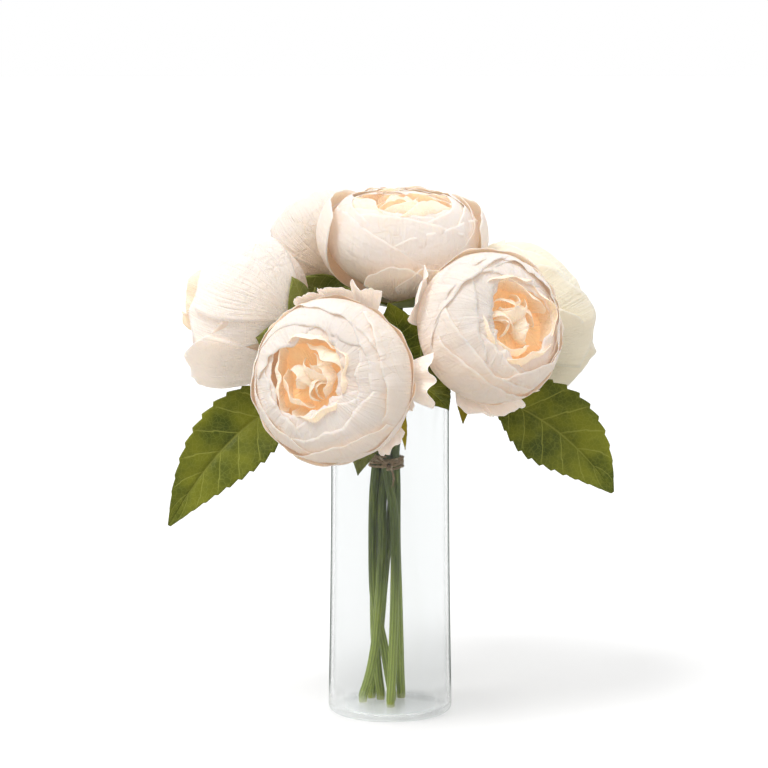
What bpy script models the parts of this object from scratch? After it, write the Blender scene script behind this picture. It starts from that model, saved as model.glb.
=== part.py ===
"""Six silk peonies with their leaves, tied with twine and standing in a clear glass cylinder vase.

Metres, +Z up. The origin is the centre of the vase's underside, +X is to the right and -Y is the
front. Every bloom is a turned core of folded petals inside three cupped petals and two ruffled
collar petals, on a calyx, on its own stem. The stems are gathered by the tie below the rim.
"""

import math

import bmesh
import bpy
from mathutils import Matrix, Vector

MM = 0.001

# Vase
VASE_HEIGHT = 214 * MM
VASE_BASE_RADIUS = 40.8 * MM
VASE_RIM_RADIUS = 38.4 * MM
VASE_WALL = 2.4 * MM
VASE_FLOOR = 3.8 * MM
VASE_HEEL = 4.0 * MM  # rounding of the outer bottom edge
VASE_CORNER = 3.0 * MM  # rounding of the inner bottom edge
VASE_SEGMENTS = 36

# Stems
STEM_RADIUS = 3.0 * MM
STEM_GAP = 0.4 * MM  # least space between the skins of neighbouring stems
FOOT_LENGTH = 5.0 * MM  # each stem stands upright on the floor over this length
STEM_NECK = 14.0 * MM  # each stem is straight over this length below its calyx
STEM_SAMPLES = 2  # points on each stretch of a stem's smooth route

# Tie
TIE_BELOW_RIM = 43 * MM
TIE_CENTRE = (-2.4 * MM, -0.5 * MM)
TIE_CORD_RADIUS = 1.0 * MM
TIE_TURNS = 3
TIE_CLEARANCE = 0.5 * MM  # between the cord and the outer stems
TIE_TAIL = 13 * MM
KNOT_RADIUS = 3.2 * MM

# Blooms
BLOOM_RADIUS = 50 * MM
BLOOM_HALF_HEIGHT = 39 * MM
PETAL_THICKNESS = 1.2 * MM
PETAL_GAP = 1.6 * MM  # between one layer of petals and the next
CALYX_THICKNESS = 1.2 * MM
RECEPTACLE_RADIUS = 5.0 * MM
RECEPTACLE_GAP = 0.7 * MM  # between the receptacle and the calyx, whose sheet is faceted
CORE_SEGMENTS = 15
COLLAR_FLARE = 7.0 * MM  # how far a collar petal leans away from the cup at its edge

# Leaves
LEAF_THICKNESS = 0.8 * MM
PETIOLE_WIDTH = 2.6 * MM
UNDER_CALYX_MOVE = 1.5  # a leaf beside a curved calyx moves this much further than the calyx grows

SMALL_GAP = 0.3 * MM  # between pieces that touch

# The layout is drawn for these. Stems spread with their real spacing, a leaf inside the mouth moves
# with the rim, a leaf under a bloom with its calyx, and larger blooms get more facets.
DRAWN_STEM_PITCH = 6.4 * MM
DRAWN_MOUTH_RADIUS = 38.4 * MM
DRAWN_CALYX_OFFSET = 5.0 * MM
DRAWN_BLOOM_RADIUS = 50 * MM

STEM_PITCH = 2 * STEM_RADIUS + STEM_GAP
TIE_HEIGHT = VASE_HEIGHT - TIE_BELOW_RIM
LAYER = PETAL_THICKNESS + PETAL_GAP
# A calyx's middle surface lies this far outside the outermost cupped petal.
CALYX_OFFSET = LAYER + PETAL_GAP + CALYX_THICKNESS / 2

# Where each bloom sits, in bloom radii: right of and behind the vase's axis, and above the rim.
# "lower" is its stem's route from tie to foot, millimetres across at STEM_LEVELS, and "upper" its
# points above the tie, the third number being the height over the rim. "slot" is its angle in the
# tie, or None at the middle. "collars" are the ways that the ruffled outer petals lean.
STEM_LEVELS = (0.13, 0.23, 0.37, 0.55, 0.67, 0.77, 0.88)
BLOOMS = {
    "front": {
        "spot": (-0.736, -1.50, 0.29),
        "axis": (-0.31, -0.945, 0.116),
        "size": 1.05,
        "turn": 200,
        "collars": ((-0.15, 0.1, 1.0), (1.0, 0.0, -0.25)),
        "slot": 262,
        "lower": (
            (-0.3, -8.2), (2.3, -8.4), (3.3, -9.0), (3.0, -9.6),
            (2.5, -10.0), (1.9, -10.5), (1.2, -11.3),
        ),
        "foot": (0.3, -12.2),
        "upper": ((-4.5, -8.6, -22), (-9.0, -8.5, -4)),
        "outer": (0.87, 0.76, 0.66),
        "inner": (0.82, 0.46, 0.22),
    },
    "top": {
        "spot": (0.162, 0.46, 1.95),
        "axis": (0.05, -0.10, 0.99),
        "size": 1.08,
        "turn": 260,
        "collars": ((-1.0, -0.35, 0.0), (1.0, -0.45, 0.0)),
        "slot": None,
        "lower": (
            (-4.3, -2.4), (-5.4, -4.6), (-5.3, -5.6), (-6.9, -4.6),
            (-8.6, -3.2), (-10.1, -2.4), (-13.4, -0.8),
        ),
        "foot": (-17.8, 0.8),
        "upper": ((-1.6, 2.0, -22), (0.0, 8.0, -5), (3.0, 18.0, 14)),
        "outer": (0.86, 0.75, 0.65),
        "inner": (0.79, 0.50, 0.28),
    },
    "right": {
        "spot": (1.276, -0.90, 0.894),
        "axis": (0.47, -0.83, 0.30),
        "size": 0.98,
        "turn": 150,
        "collars": ((-1.0, 0.0, 0.15), (0.1, 0.0, -1.0)),
        "slot": 334,
        "lower": (
            (3.9, -1.6), (3.9, -1.0), (4.0, -0.6), (5.0, 0.4),
            (5.6, 3.0), (6.1, 5.6), (6.6, 8.8),
        ),
        "foot": (7.3, 12.4),
        "upper": ((6.0, -4.4, -22), (13.0, -4.0, -5), (24.0, 0.0, 12)),
        "outer": (0.85, 0.76, 0.68),
        "inner": (0.77, 0.50, 0.28),
    },
    "left": {
        "spot": (-1.87, 0.30, 0.964),
        "axis": (-0.85, 0.36, 0.34),
        "size": 0.96,
        "turn": 20,
        "collars": ((-0.3, -1.0, -0.62), (0.2, 0.8, -0.5)),
        "slot": 190,
        "lower": (
            (-10.5, -0.4), (-11.2, -0.8), (-11.4, 1.0), (-10.8, 3.0),
            (-7.9, 4.8), (-4.3, 4.8), (-1.2, 4.7),
        ),
        "foot": (1.3, 4.5),
        "upper": ((-11.0, -2.4, -22), (-19.0, -1.2, -6), (-30.0, 1.0, 11)),
        "outer": (0.88, 0.78, 0.70),
        "inner": (0.79, 0.50, 0.28),
    },
    "rear_left": {
        "spot": (-0.88, 2.0, 1.58),
        "axis": (-0.40, 0.60, 0.70),
        "size": 0.92,
        "turn": 75,
        "collars": ((-1.0, 0.2, -0.2), (0.5, 0.9, -0.6)),
        "slot": 118,
        "lower": (
            (-8.6, 5.9), (-9.5, 7.2), (-9.8, 9.0), (-10.4, 10.6),
            (-10.4, 11.6), (-9.8, 11.2), (-8.2, 9.8),
        ),
        "foot": (-6.3, 8.2),
        "upper": ((-8.0, 9.0, -22), (-11.0, 18.0, -5), (-14.0, 36.0, 12)),
        "outer": (0.88, 0.78, 0.71),
        "inner": (0.79, 0.50, 0.28),
    },
    "rear_right": {
        "spot": (1.82, 1.0, 0.912),
        "axis": (0.75, 0.50, 0.43),
        "size": 1.0,
        "turn": 310,
        "collars": ((0.5, -0.9, -0.4), (0.1, 0.7, -0.9)),
        "slot": 46,
        "lower": (
            (1.8, 5.2), (0.8, 7.4), (-1.6, 11.0), (-4.4, 15.2),
            (-6.0, 18.0), (-7.6, 18.8), (-10.0, 17.0),
        ),
        "foot": (-12.2, 13.0),
        "upper": ((5.0, 6.8, -22), (14.0, 10.4, -5), (29.0, 16.0, 10)),
        "outer": (0.80, 0.73, 0.58),
        "inner": (0.75, 0.55, 0.30),
    },
}

# Each leaf's spine runs from base over bend to tip, in millimetres across and above the rim, and its
# face looks along "face". "fold" is the angle that each half rises from the midrib. "under" names the
# bloom whose calyx it lies below, and "in_mouth" is true where its tip hangs inside the vase.
LEAVES = {
    "leaf_left": {
        "base": (-46, 2, -4), "bend": (-99, -8, -9), "tip": (-143, -24, -87),
        "width": 50, "face": (0.25, -1.0, 0.40), "fold": 12,
    },
    "leaf_right": {
        "base": (50, 4, -3), "bend": (108, -4, -12), "tip": (144, -20, -66),
        "width": 54, "face": (-0.15, -1.0, 0.50), "fold": 12,
    },
    "leaf_mouth_right": {
        "base": (9, -17, 5), "bend": (20, -36, 11), "tip": (34, -48, -6),
        "width": 25, "face": (0.1, -0.9, 0.8), "fold": 8, "under": "right",
    },
    "leaf_mouth_low": {
        "base": (-7, -15, -18), "bend": (-15, -22, -22), "tip": (-20.5, -26, -53),
        "width": 22, "face": (-0.2, -1.0, 0.2), "fold": 10, "in_mouth": True,
    },
    "leaf_under_right": {
        "base": (50, -8, 22), "bend": (49, -14, 6), "tip": (47, -19, -21),
        "width": 13, "face": (-0.3, -1.0, 0.1), "fold": 16, "under": "right",
    },
    "leaf_under_front": {
        "base": (-4, -41, 4), "bend": (7, -44, -4), "tip": (9.5, -50, -33),
        "width": 8, "face": (0.6, -1.0, 0.1), "fold": 16, "under": "front",
    },
    "leaf_gap_left": {
        "base": (-22, 26, 12), "bend": (-32, 40, 34), "tip": (-37, 44, 60),
        "width": 22, "face": (-0.3, -1.0, 0.0), "fold": 10,
    },
    "leaf_gap_middle": {
        "base": (6, -9, 12), "bend": (12, -14, 26), "tip": (5, -22, 46),
        "width": 17, "face": (0.0, -1.0, 0.2), "fold": 12,
    },
    "leaf_rear_left": {
        "base": (-22, 24, 6), "bend": (-44, 44, 22), "tip": (-64, 84, -8),
        "width": 46, "face": (-0.3, 0.8, 0.9), "fold": 12,
    },
    "leaf_rear_right": {
        "base": (15, 24, 6), "bend": (20, 58, 26), "tip": (32, 102, 16),
        "width": 32, "face": (0.3, 0.6, 1.0), "fold": 12,
    },
}

# Colour, roughness and transmission of everything but the petals.
FINISHES = {
    "glass": ((0.93, 0.95, 0.94), 0.03, 0.9),
    "stem": ((0.075, 0.125, 0.025), 0.45, 0.0),
    "calyx": ((0.16, 0.20, 0.03), 0.55, 0.0),
    "leaf": ((0.11, 0.13, 0.015), 0.55, 0.0),
    "twine": ((0.13, 0.09, 0.035), 0.9, 0.0),
}


def clear_scene():
    for obj in list(bpy.data.objects):
        bpy.data.objects.remove(obj, do_unlink=True)


def new_collection(name):
    collection = bpy.data.collections.new(name)
    bpy.context.scene.collection.children.link(collection)
    return collection


def material(name, colour, roughness, transmission=0.0):
    found = bpy.data.materials.get(name)
    if found:
        return found
    made = bpy.data.materials.new(name)
    made.use_nodes = True
    shader = made.node_tree.nodes["Principled BSDF"]
    shader.inputs["Base Color"].default_value = (*colour, 1.0)
    shader.inputs["Roughness"].default_value = roughness
    shader.inputs["Metallic"].default_value = 0.0
    shader.inputs["Transmission Weight"].default_value = transmission
    return made


def slot_material(slot):
    colour, roughness, transmission = FINISHES[slot]
    return material(slot, colour, roughness, transmission)


def add_object(name, data, look, collection):
    obj = bpy.data.objects.new(name, data)
    collection.objects.link(obj)
    data.materials.append(look)
    return obj


def smooth(values, samples):
    """Points on a Catmull-Rom curve through the given ones, which keeps both ends."""
    ends = [values[0] * 2 - values[1], *values, values[-1] * 2 - values[-2]]
    points = [values[0]]
    for a, b, c, d in zip(ends, ends[1:], ends[2:], ends[3:]):
        for step in range(1, samples + 1):
            t = step / samples
            bow = (2 * a - 5 * b + 4 * c - d) * t**2
            turn = (3 * b - a - 3 * c + d) * t**3
            points.append(0.5 * (2 * b + (c - a) * t + bow + turn))
    return points


def arc(centre, radius, start, end, steps):
    """Points of a profile's arc, from one angle in degrees to another."""
    turns = [math.radians(start + (end - start) * n / steps) for n in range(steps + 1)]
    return [(centre[0] + radius * math.cos(t), centre[1] + radius * math.sin(t)) for t in turns]


def facets(drawn):
    """The drawn number of facets, raised with the blooms' size so that their gaps still hold."""
    return max(drawn, round(drawn * BLOOM_RADIUS / DRAWN_BLOOM_RADIUS))


def turned(name, profile, segments, look, collection):
    """A solid of revolution about Z from (radius, height) pairs that run down its outer side."""
    mesh = bpy.data.meshes.new(name)
    edges = [(n, n + 1) for n in range(len(profile) - 1)]
    mesh.from_pydata([(r, 0.0, z) for r, z in profile], edges, [])
    obj = add_object(name, mesh, look, collection)
    screw = obj.modifiers.new("turn", "SCREW")
    screw.axis = "Z"
    screw.angle = math.tau
    screw.steps = screw.render_steps = segments
    screw.use_merge_vertices = True
    screw.merge_threshold = 0.00001
    screw.use_smooth_shade = True
    return obj


def tube(name, points, radius, look, collection):
    """A round rod along the given points, with flat ends."""
    curve = bpy.data.curves.new(name, "CURVE")
    curve.dimensions = "3D"
    curve.bevel_depth = radius
    curve.bevel_resolution = 2
    curve.use_fill_caps = True
    spline = curve.splines.new("POLY")
    spline.points.add(len(points) - 1)
    for point, place in zip(spline.points, points):
        point.co = (*place, 1.0)
    return add_object(name, curve, look, collection)


def tube_mesh(obj):
    """The tube as a mesh object with its caps welded on, so that it can be joined to another."""
    name = obj.name
    mesh = bpy.data.meshes.new_from_object(obj.evaluated_get(bpy.context.evaluated_depsgraph_get()))
    work = bmesh.new()
    work.from_mesh(mesh)
    bmesh.ops.remove_doubles(work, verts=work.verts, dist=0.00001)
    bmesh.ops.recalc_face_normals(work, faces=work.faces)
    work.to_mesh(mesh)
    work.free()
    collection = obj.users_collection[0]
    place = obj.matrix_world.copy()
    bpy.data.objects.remove(obj, do_unlink=True)
    made = bpy.data.objects.new(name, mesh)
    made.matrix_world = place
    collection.objects.link(made)
    return made


def sheet(name, across, along, place, thickness, look, collection):
    """A curved sheet with Solidify: place(u, v) gives its point, u from 0 to 1 and v from -1 to 1."""
    work = bmesh.new()
    bmesh.ops.create_grid(work, x_segments=across, y_segments=along, size=1.0)
    for vert in work.verts:
        vert.co = place((vert.co.y + 1) / 2, vert.co.x)
    mesh = bpy.data.meshes.new(name)
    work.to_mesh(mesh)
    work.free()
    mesh.shade_smooth()
    obj = add_object(name, mesh, look, collection)
    add_thickness(obj, thickness)
    return obj


def add_thickness(obj, thickness):
    solidify = obj.modifiers.new("thickness", "SOLIDIFY")
    solidify.thickness = thickness
    solidify.offset = 0.0


def hide_tool(obj):
    obj.hide_render = True
    obj.display_type = "WIRE"


def unite(obj, others, tools):
    for other in others:
        for collection in list(other.users_collection):
            collection.objects.unlink(other)
        tools.objects.link(other)
        hide_tool(other)
        join = obj.modifiers.new("join_" + other.name, "BOOLEAN")
        join.operation = "UNION"
        join.solver = "EXACT"
        join.object = other


def vase_radius(height):
    """Outer radius of the vase, which flares gently towards its foot."""
    return VASE_RIM_RADIUS + (VASE_BASE_RADIUS - VASE_RIM_RADIUS) * (1 - height / VASE_HEIGHT) ** 2


def build_vase(collection):
    lip = VASE_WALL / 2
    levels = (0.25, 0.5, 0.75)
    corner_height = VASE_FLOOR + VASE_CORNER
    corner_centre = vase_radius(corner_height) - VASE_WALL - VASE_CORNER
    inner_wall = [(vase_radius(VASE_HEIGHT * s) - VASE_WALL, VASE_HEIGHT * s) for s in levels]
    outer_wall = [(vase_radius(VASE_HEIGHT * s), VASE_HEIGHT * s) for s in reversed(levels)]
    heel_centre = vase_radius(VASE_HEEL) - VASE_HEEL
    profile = [(0.0, VASE_FLOOR)]
    profile += arc((corner_centre, corner_height), VASE_CORNER, -90, 0, 3)
    profile += inner_wall
    profile += arc((VASE_RIM_RADIUS - lip, VASE_HEIGHT - lip), lip, 180, 0, 4)
    profile += outer_wall
    profile += arc((heel_centre, VASE_HEEL), VASE_HEEL, 0, -90, 4)
    profile.append((0.0, 0.0))
    return turned("vase", profile, VASE_SEGMENTS, slot_material("glass"), collection)


class Bloom:
    """Where one bloom sits: its centre, its axes and the shells that its petals follow."""

    def __init__(self, name, spec):
        self.name = name
        self.spec = spec
        self.centre = Vector(spec["spot"]) * BLOOM_RADIUS
        self.centre.z += VASE_HEIGHT
        self.up = Vector(spec["axis"]).normalized()
        self.side = self.up.orthogonal().normalized()
        self.front = self.up.cross(self.side)
        self.radius = BLOOM_RADIUS * spec["size"]
        self.half_height = BLOOM_HALF_HEIGHT * spec["size"]

    def matrix(self):
        turn = Matrix((self.side, self.front, self.up)).transposed().to_4x4()
        return Matrix.Translation(self.centre) @ turn

    def shell(self, polar, azimuth, offset):
        """A point on the bloom's shell: polar angle from the stem side, and offset outwards."""
        ring = (self.radius + offset) * math.sin(polar)
        lift = -(self.half_height + offset) * math.cos(polar)
        sideways = self.side * math.cos(azimuth) + self.front * math.sin(azimuth)
        return self.centre + sideways * ring + self.up * lift

    def azimuth_of(self, direction):
        direction = Vector(direction)
        return math.atan2(direction.dot(self.front), direction.dot(self.side))

    def stem_top(self):
        """Where the stem ends, just under the calyx."""
        below = self.half_height + CALYX_OFFSET + CALYX_THICKNESS / 2 + SMALL_GAP
        return self.centre - self.up * below


def build_core(bloom, collection):
    """The mass of folded inner petals: a turned body with a dished opening and a receptacle below."""
    inset = 3 * LAYER
    radius = bloom.radius - inset
    half_height = bloom.half_height - inset
    opening, foot, steps = 2.30, 0.30, 7
    lip_radius = radius * math.sin(opening)
    lip_height = -half_height * math.cos(opening)
    dish_depth = 0.2 * half_height
    dish = (0.0, 0.35, 0.7)
    profile = [(lip_radius * s, lip_height - dish_depth * (1 - s**2)) for s in dish]
    for n in range(steps + 1):
        polar = opening + (foot - opening) * n / steps
        profile.append((radius * math.sin(polar), -half_height * math.cos(polar)))
    underside = bloom.half_height + CALYX_OFFSET - CALYX_THICKNESS / 2 - RECEPTACLE_GAP
    profile += [(RECEPTACLE_RADIUS, -half_height - LAYER), (RECEPTACLE_RADIUS, -underside), (0.0, -underside)]
    look = material("petal_inner_" + bloom.name, bloom.spec["inner"], 0.6)
    core = turned("inner_petals_" + bloom.name, profile, facets(CORE_SEGMENTS), look, collection)
    core.matrix_world = bloom.matrix()
    return core


def build_cup_petals(bloom, look, collection):
    """Three cupped petals, each one layer inside the last, which close round the core."""
    half_width = math.radians(70)
    start, top, rounding = 0.22, 2.30, 0.38
    for n in range(3):
        offset = -(PETAL_THICKNESS / 2 + n * LAYER)
        middle = math.radians(bloom.spec["turn"] + 120 * n)

        def place(u, v, offset=offset, middle=middle):
            polar = start + (top - rounding * v**2 - start) * u
            return bloom.shell(polar, middle + half_width * v, offset)

        name = f"petal_{bloom.name}_{n + 1}"
        sheet(name, facets(7), facets(6), place, PETAL_THICKNESS, look, collection)


def build_collar_petals(bloom, look, collection):
    """Two short ruffled petals outside the cup that lean away from it at their edges."""
    half_width = math.radians(38)
    start, top, rounding, lean_from = 0.42, 1.80, 0.30, 1.05
    for n, direction in enumerate(bloom.spec["collars"]):
        middle = bloom.azimuth_of(direction)

        def place(u, v, middle=middle):
            polar = start + (top - rounding * v**2 - start) * u
            lean = max(0.0, (polar - lean_from) / (top - lean_from))
            ruffle = 1 + 0.25 * math.cos(3 * math.pi * v)
            offset = PETAL_GAP + PETAL_THICKNESS / 2 + COLLAR_FLARE * lean**1.5 * ruffle
            return bloom.shell(polar, middle + half_width * v, offset)

        sheet(f"petal_{bloom.name}_{n + 4}", 6, 5, place, PETAL_THICKNESS, look, collection)


def build_calyx(bloom, collection):
    """A five-lobed cap of sepals between the stem and the petals."""
    rings, spokes, sepals = 3, 20, 5
    disc, reach = 0.34, 0.52
    work = bmesh.new()
    centre = work.verts.new(bloom.shell(0.0, 0.0, CALYX_OFFSET))
    rows = []
    for ring in range(1, rings + 1):
        row = []
        for spoke in range(spokes):
            azimuth = math.tau * spoke / spokes
            lobe = (0.5 + 0.5 * math.cos(sepals * azimuth)) ** 0.8
            polar = (disc + reach * lobe) * ring / rings
            row.append(work.verts.new(bloom.shell(polar, azimuth, CALYX_OFFSET)))
        rows.append(row)
    for n in range(spokes):
        after = (n + 1) % spokes
        work.faces.new((centre, rows[0][n], rows[0][after]))
        for inner, outer in zip(rows, rows[1:]):
            work.faces.new((inner[n], outer[n], outer[after], inner[after]))
    bmesh.ops.recalc_face_normals(work, faces=work.faces)
    mesh = bpy.data.meshes.new("calyx_" + bloom.name)
    work.to_mesh(mesh)
    work.free()
    mesh.shade_smooth()
    calyx = add_object("calyx_" + bloom.name, mesh, slot_material("calyx"), collection)
    add_thickness(calyx, CALYX_THICKNESS)


def tie_point(slot):
    """Where a stem passes through the tie: on a ring round the middle stem, or at the middle."""
    centre = Vector((*TIE_CENTRE, 0.0))
    if slot is None:
        return centre
    turn = math.radians(slot)
    return centre + Vector((math.cos(turn), math.sin(turn), 0.0)) * STEM_PITCH


def at_height(point, height):
    return Vector((point.x, point.y, height))


def stem_route(bloom):
    """The stem's centreline from its foot, up through the tie, to just under the calyx."""
    spec = bloom.spec
    spread = STEM_PITCH / DRAWN_STEM_PITCH * MM
    floor = VASE_FLOOR + SMALL_GAP
    foot = Vector((*spec["foot"], 0.0)) * spread
    route = [at_height(foot, floor), at_height(foot, floor + FOOT_LENGTH)]
    for level, (x, y) in reversed(list(zip(STEM_LEVELS, spec["lower"]))):
        height = TIE_HEIGHT + (floor - TIE_HEIGHT) * level
        route.append(Vector((x * spread, y * spread, height)))
    gathered = tie_point(spec["slot"])
    half_tie = TIE_TURNS * TIE_CORD_RADIUS
    route += [at_height(gathered, TIE_HEIGHT - half_tie), at_height(gathered, TIE_HEIGHT + half_tie)]
    for x, y, above in spec["upper"]:
        route.append(Vector((x * spread, y * spread, VASE_HEIGHT + above * MM)))
    top = bloom.stem_top()
    route += [top - bloom.up * STEM_NECK, top]
    return route


def build_stem(bloom, collection):
    route = stem_route(bloom)
    curve = [route[0], *smooth(route[1:-1], STEM_SAMPLES), route[-1]]
    tube("stem_" + bloom.name, curve, STEM_RADIUS, slot_material("stem"), collection)


def build_tie(collection, tools):
    """Twine wound round the gathered stems, with a knot and two loose ends at the front."""
    ring = STEM_PITCH + STEM_RADIUS + TIE_CLEARANCE + TIE_CORD_RADIUS
    rise = 2 * TIE_CORD_RADIUS + SMALL_GAP
    corners = 12
    centre = Vector((*TIE_CENTRE, TIE_HEIGHT - rise * TIE_TURNS / 2))
    winding = []
    for n in range(corners * TIE_TURNS + 1):
        turn = math.tau * n / corners - math.pi / 2
        winding.append(centre + Vector((ring * math.cos(turn), ring * math.sin(turn), rise * n / corners)))
    look = slot_material("twine")
    tie = tube_mesh(tube("twine_tie", winding, TIE_CORD_RADIUS, look, collection))
    tie.data.materials.append(look)
    front = Vector((TIE_CENTRE[0], TIE_CENTRE[1] - ring - TIE_CORD_RADIUS / 2, TIE_HEIGHT - 2 * MM))
    bpy.ops.mesh.primitive_uv_sphere_add(segments=12, ring_count=8, radius=KNOT_RADIUS, location=front)
    knot = bpy.context.object
    knot.name = "tie_knot"
    knot.scale = (1.25, 0.55, 1.1)
    ends = []
    for name, lean in (("tie_end_left", (-0.75, -0.1, 0.65)), ("tie_end_right", (0.35, -0.3, -0.9))):
        way = Vector(lean).normalized()
        sag = Vector((0.0, -0.15, -0.25)) * TIE_TAIL
        points = [front + way * TIE_TAIL * s + sag * s**2 for s in (0.05, 0.35, 0.7, 1.0)]
        ends.append(tube_mesh(tube(name, points, TIE_CORD_RADIUS * 0.8, look, collection)))
    unite(tie, [knot, *ends], tools)


def leaf_place(spec):
    """The function that places a leaf's grid on its spine, with a petiole at the base."""
    spread = VASE_RIM_RADIUS / DRAWN_MOUTH_RADIUS if spec.get("in_mouth") else 1.0
    clear = Vector((0.0, 0.0, 0.0))
    if "under" in spec:
        growth = (CALYX_OFFSET - DRAWN_CALYX_OFFSET) * UNDER_CALYX_MOVE
        clear = Vector(BLOOMS[spec["under"]]["axis"]).normalized() * -growth
    points = []
    for key in ("base", "bend", "tip"):
        x, y, above = spec[key]
        points.append(Vector((x * spread * MM, y * spread * MM, VASE_HEIGHT + above * MM)) + clear)
    base, bend, tip = points
    face = Vector(spec["face"]).normalized()
    half_width = spec["width"] * MM / 2 * spread
    rise = math.tan(math.radians(spec["fold"]))
    petiole, point_width = 0.16, 0.04

    def place(u, v):
        spine = base * (1 - u) ** 2 + bend * 2 * u * (1 - u) + tip * u**2
        along = (bend - base) * (1 - u) + (tip - bend) * u
        side = along.cross(face).normalized()
        normal = side.cross(along).normalized()
        blade = max(0.0, (u - petiole) / (1 - petiole))
        shape = math.sin(math.pi * blade**0.8) ** 0.85 if blade < 1 else 0.0
        width = max(PETIOLE_WIDTH / 2, half_width * shape)
        if u == 1.0:
            width = half_width * point_width
        return spine + side * width * v + normal * width * abs(v) * rise

    return place


def build_leaf(name, spec, collection):
    sheet(name, 4, 8, leaf_place(spec), LEAF_THICKNESS, slot_material("leaf"), collection)


def main():
    clear_scene()
    model = new_collection("peony_vase")
    tools = new_collection("joined_pieces")
    build_vase(model)
    for name, spec in BLOOMS.items():
        bloom = Bloom(name, spec)
        outer = material("petal_outer_" + name, spec["outer"], 0.6)
        build_core(bloom, model)
        build_cup_petals(bloom, outer, model)
        build_collar_petals(bloom, outer, model)
        build_calyx(bloom, model)
        build_stem(bloom, model)
    build_tie(model, tools)
    for name, spec in LEAVES.items():
        build_leaf(name, spec, model)


main()
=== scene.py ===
import math

import bpy
import numpy as np
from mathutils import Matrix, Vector


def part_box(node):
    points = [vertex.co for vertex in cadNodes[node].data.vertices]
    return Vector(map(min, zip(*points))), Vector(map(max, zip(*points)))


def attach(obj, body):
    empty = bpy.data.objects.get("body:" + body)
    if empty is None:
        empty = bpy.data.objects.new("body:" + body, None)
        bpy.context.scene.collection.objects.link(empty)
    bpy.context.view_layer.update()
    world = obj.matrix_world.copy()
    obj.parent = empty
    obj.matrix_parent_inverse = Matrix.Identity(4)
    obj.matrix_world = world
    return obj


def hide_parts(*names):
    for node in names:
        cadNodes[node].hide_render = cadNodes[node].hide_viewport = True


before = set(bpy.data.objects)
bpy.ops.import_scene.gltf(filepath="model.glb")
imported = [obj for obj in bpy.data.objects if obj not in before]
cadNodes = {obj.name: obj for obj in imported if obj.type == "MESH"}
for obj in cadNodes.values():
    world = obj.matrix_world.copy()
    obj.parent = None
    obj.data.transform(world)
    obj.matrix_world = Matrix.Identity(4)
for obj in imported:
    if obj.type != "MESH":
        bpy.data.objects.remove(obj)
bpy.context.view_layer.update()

mm = 0.001
tau = math.tau


def unit(v):
    v = np.asarray(v, float)
    return v / max(np.linalg.norm(v), 1e-12)


def weldedNode(name):
    # A node's points with its split corners merged, and which points share an edge
    data = cadNodes[name].data
    places = np.array([v.co[:] for v in data.vertices])
    keys, index = np.unique(np.round(places / (0.01 * mm)).astype(int), axis=0, return_inverse=True)
    index = index.reshape(-1)
    points = np.zeros((len(keys), 3))
    np.add.at(points, index, places)
    points /= np.bincount(index)[:, None]
    near = [set() for _ in keys]
    for edge in data.edges:
        a, b = index[edge.vertices[0]], index[edge.vertices[1]]
        if a != b:
            near[a].add(b)
            near[b].add(a)
    return points, near


def rowsFrom(points, near, first):
    # The node's points in rows, each one edge further from the first row
    rows, seen, row = [], set(first), sorted(first)
    while row:
        rows.append(points[row])
        row = sorted({n for i in row for n in near[i]} - seen)
        seen.update(row)
    return rows


def smoothPath(points, count):
    # Catmull-Rom through the points, sampled evenly by length
    p = np.asarray(points, float)
    ends = np.vstack([2 * p[0] - p[1], p, 2 * p[-1] - p[-2]])
    fine = []
    for a, b, c, d in zip(ends, ends[1:], ends[2:], ends[3:]):
        for t in np.linspace(0, 1, 12, endpoint=False):
            fine.append(0.5 * (2 * b + (c - a) * t + (2 * a - 5 * b + 4 * c - d) * t**2
                               + (3 * b - a - 3 * c + d) * t**3))
    fine = np.array(fine + [p[-1]])
    run = np.concatenate([[0], np.cumsum(np.linalg.norm(np.diff(fine, axis=0), axis=1))])
    at = np.linspace(0, run[-1], count)
    return np.stack([np.interp(at, run, fine[:, k]) for k in range(3)], axis=1)


def gridsToMesh(name, grids, looks, closed=False, caps=False):
    # One mesh from grids of points, each with a dictionary of values to keep as attributes
    places, faces, values = [], [], {}
    start = 0
    for points, marks in grids:
        rows, columns = points.shape[:2]
        index = start + np.arange(rows * columns).reshape(rows, columns)
        places.append(points.reshape(-1, 3))
        for key, value in marks.items():
            values.setdefault(key, []).append(np.broadcast_to(value, (rows, columns)).reshape(-1))
        right = np.roll(index, -1, axis=1) if closed else index[:, 1:]
        left = index if closed else index[:, :-1]
        quads = np.stack([left[:-1], right[:-1], right[1:], left[1:]], axis=-1).reshape(-1, 4)
        faces += quads.tolist()
        if caps:
            faces.append(index[0][::-1].tolist())
            faces.append(index[-1].tolist())
        start += rows * columns
    mesh = bpy.data.meshes.new(name)
    mesh.from_pydata(np.concatenate(places).tolist(), [], faces)
    for key, parts in values.items():
        layer = mesh.attributes.new(key, "FLOAT", "POINT")
        layer.data.foreach_set("value", np.concatenate(parts).astype(np.float32))
    for look in looks:
        mesh.materials.append(look)
    mesh.shade_smooth()
    mesh.update()
    return mesh


def place(name, mesh, slot, *replaced):
    # A piece on the body, standing in for the CAD nodes it replaces
    piece = bpy.data.objects.new(name, mesh)
    bpy.context.scene.collection.objects.link(piece)
    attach(piece, "root")
    if replaced:
        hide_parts(*replaced)
    return piece


def thicken(piece, thickness, inner=0):
    # Gives a sheet its thickness; inner is how many material slots further on the back's look is
    sheet = piece.modifiers.new("thickness", "SOLIDIFY")
    sheet.thickness = thickness
    sheet.offset = 0.0
    sheet.material_offset = inner


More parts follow.
